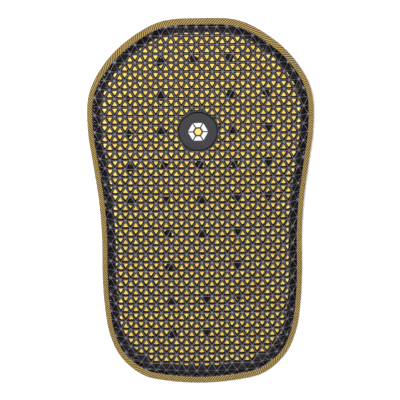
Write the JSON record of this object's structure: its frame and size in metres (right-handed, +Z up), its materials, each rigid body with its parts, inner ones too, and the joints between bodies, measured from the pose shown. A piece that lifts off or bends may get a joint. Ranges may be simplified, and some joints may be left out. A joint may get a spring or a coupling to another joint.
{
  "type": "back protector",
  "caption": "Soft back protector pad: perforated foam core under a rubber net of triangles, on a backing sheet bound round the edge with tape, with a round badge.",
  "frame": {"origin": "middle of the footprint on the surface that the pad rests on", "axes": "+Z up through the net side, +Y toward the pad's upper end, +X to the right seen from above with the upper end away"},
  "size_m": [0.2676, 0.4424, 0.0303],
  "materials": {
    "back_sheet": "plain black backing cloth, matt",
    "foam_core": "yellow open foam, matt, fine cells",
    "net": "moulded charcoal rubber, satin, shiny in the pockets of the border",
    "edge_tape": "woven tape, golden with dark brown slanting ribs",
    "badge": "charcoal rubber disc, matt, bevelled rim"
  },
  "bodies": {
    "root": {"back_sheet": "back_sheet", "foam_core": "foam_core", "net": "net", "edge_tape": "edge_tape", "badge": "badge"}
  },
  "joints": []
}
